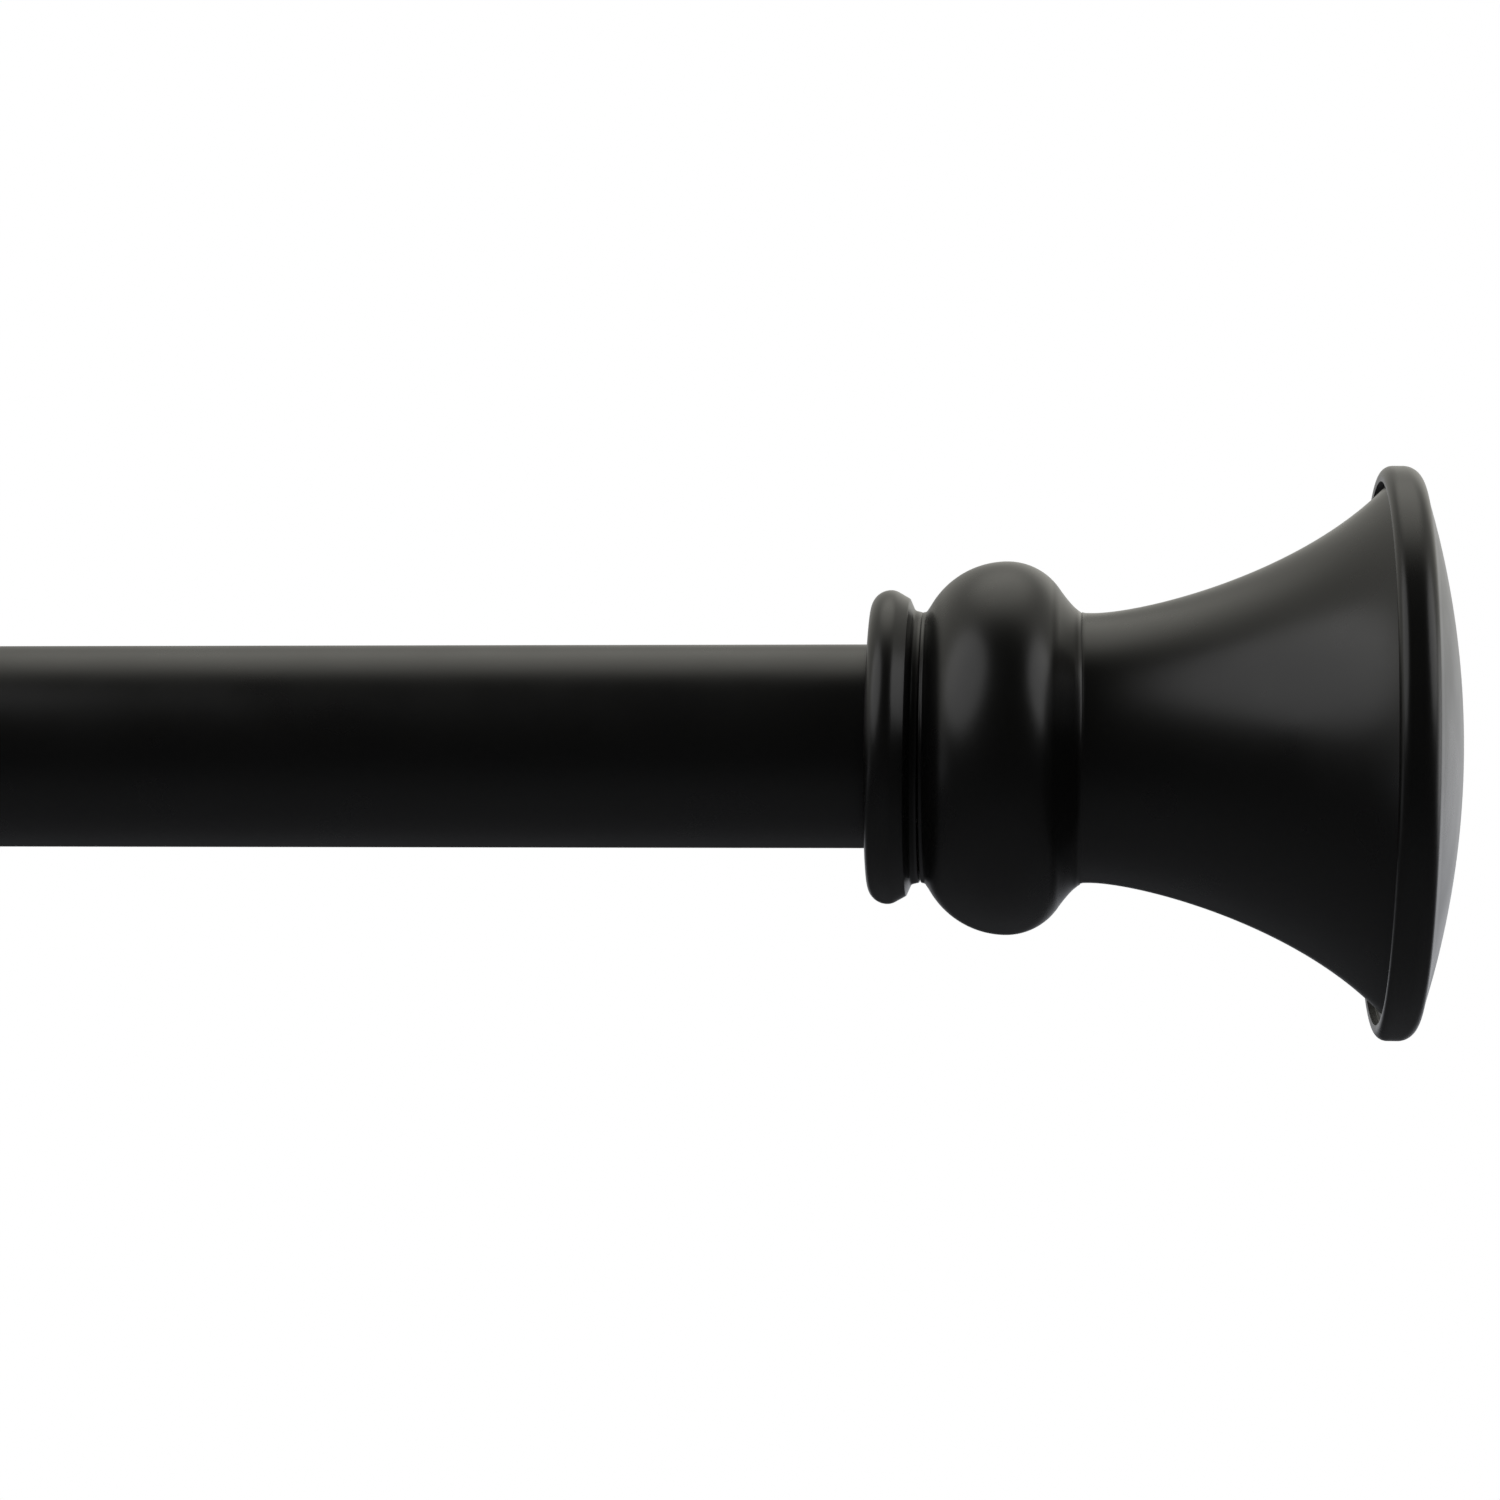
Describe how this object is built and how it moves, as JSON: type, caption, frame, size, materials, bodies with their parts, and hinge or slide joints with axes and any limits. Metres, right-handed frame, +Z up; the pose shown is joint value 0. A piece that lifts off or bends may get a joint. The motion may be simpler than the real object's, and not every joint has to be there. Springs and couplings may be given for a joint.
{
  "type": "curtain rod with brackets",
  "caption": "Adjustable telescoping curtain rod with flared trumpet finials, carried on two wall brackets with adjustable arms and open rod cups.",
  "frame": {"origin": "middle of the right-hand wall plate's back face, on the wall", "axes": "+X along the rod towards the right-hand finial, +Y into the wall, +Z up"},
  "size_m": [0.8566, 0.1254, 0.0708],
  "materials": {
    "black_paint": "satin black powder coat",
    "finial_paint": "satin black paint on moulded resin",
    "black_plastic": "plain moulded black plastic",
    "zinc_steel": "bright zinc plate"
  },
  "bodies": {
    "right_bracket": {"wall_plate_right": "black_paint", "post_right": "black_paint"},
    "right_cover": {"base_cover_right": "black_paint"},
    "right_arm_lock": {"projection_screw_right": "black_paint"},
    "right_arm": {"arm_right": "black_paint", "cup_right": "black_paint", "cup_screw_right": "zinc_steel"},
    "right_rod_lock": {"rod_screw_right": "black_paint"},
    "rod": {"outer_tube": "black_paint", "tube_bush": "black_plastic"},
    "rod_extension": {"inner_tube": "black_paint", "glide_plug": "black_plastic"},
    "right_finial": {"finial_collar_right": "finial_paint", "finial_bulb_right": "finial_paint", "finial_bell_right": "finial_paint", "finial_end_cap_right": "finial_paint", "finial_plug_right": "black_plastic", "finial_screw_right": "zinc_steel"},
    "left_finial": {"finial_collar_left": "finial_paint", "finial_bulb_left": "finial_paint", "finial_bell_left": "finial_paint", "finial_end_cap_left": "finial_paint", "finial_plug_left": "black_plastic", "finial_screw_left": "zinc_steel"},
    "left_bracket": {"wall_plate_left": "black_paint", "post_left": "black_paint"},
    "left_cover": {"base_cover_left": "black_paint"},
    "left_arm_lock": {"projection_screw_left": "black_paint"},
    "left_arm": {"arm_left": "black_paint", "cup_left": "black_paint", "cup_screw_left": "zinc_steel"},
    "left_rod_lock": {"rod_screw_left": "black_paint"}
  },
  "joints": [
    {"name": "rod_extend", "type": "slide", "parent": "rod", "child": "rod_extension", "axis": [-1, 0, 0], "range_m": [0, 0.508]},
    {"name": "left_bracket_place", "type": "slide", "parent": "right_bracket", "child": "left_bracket", "axis": [-1, 0, 0], "range_m": [0, 0.508]},
    {"name": "projection", "type": "slide", "parent": "right_bracket", "child": "right_arm", "axis": [0, -1, 0], "range_m": [0, 0.025]},
    {"name": "projection_left", "type": "slide", "parent": "left_bracket", "child": "left_arm", "axis": [0, -1, 0], "range_m": [0, 0.025]},
    {"name": "rod_lift", "type": "slide", "parent": "right_arm", "child": "rod", "axis": [0, 0, 1], "range_m": [0, 0.05]},
    {"name": "right_finial_pull", "type": "slide", "parent": "rod", "child": "right_finial", "axis": [1, 0, 0], "range_m": [0, 0.03]},
    {"name": "left_finial_pull", "type": "slide", "parent": "rod_extension", "child": "left_finial", "axis": [-1, 0, 0], "range_m": [0, 0.03]},
    {"name": "right_rod_screw", "type": "slide", "parent": "right_arm", "child": "right_rod_lock", "axis": [0, 0, -1], "range_m": [0, 0.006]},
    {"name": "left_rod_screw", "type": "slide", "parent": "left_arm", "child": "left_rod_lock", "axis": [0, 0, -1], "range_m": [0, 0.006]},
    {"name": "right_projection_screw", "type": "slide", "parent": "right_bracket", "child": "right_arm_lock", "axis": [0, 0, -1], "range_m": [0, 0.003]},
    {"name": "left_projection_screw", "type": "slide", "parent": "left_bracket", "child": "left_arm_lock", "axis": [0, 0, -1], "range_m": [0, 0.003]},
    {"name": "right_cover_slide", "type": "slide", "parent": "right_bracket", "child": "right_cover", "axis": [0, -1, 0], "range_m": [0, 0.025]},
    {"name": "left_cover_slide", "type": "slide", "parent": "left_bracket", "child": "left_cover", "axis": [0, -1, 0], "range_m": [0, 0.025]}
  ],
  "couplings": [
    {"joint": "left_bracket_place", "follows": "rod_extend", "ratio": 1},
    {"joint": "projection_left", "follows": "projection", "ratio": 1}
  ]
}
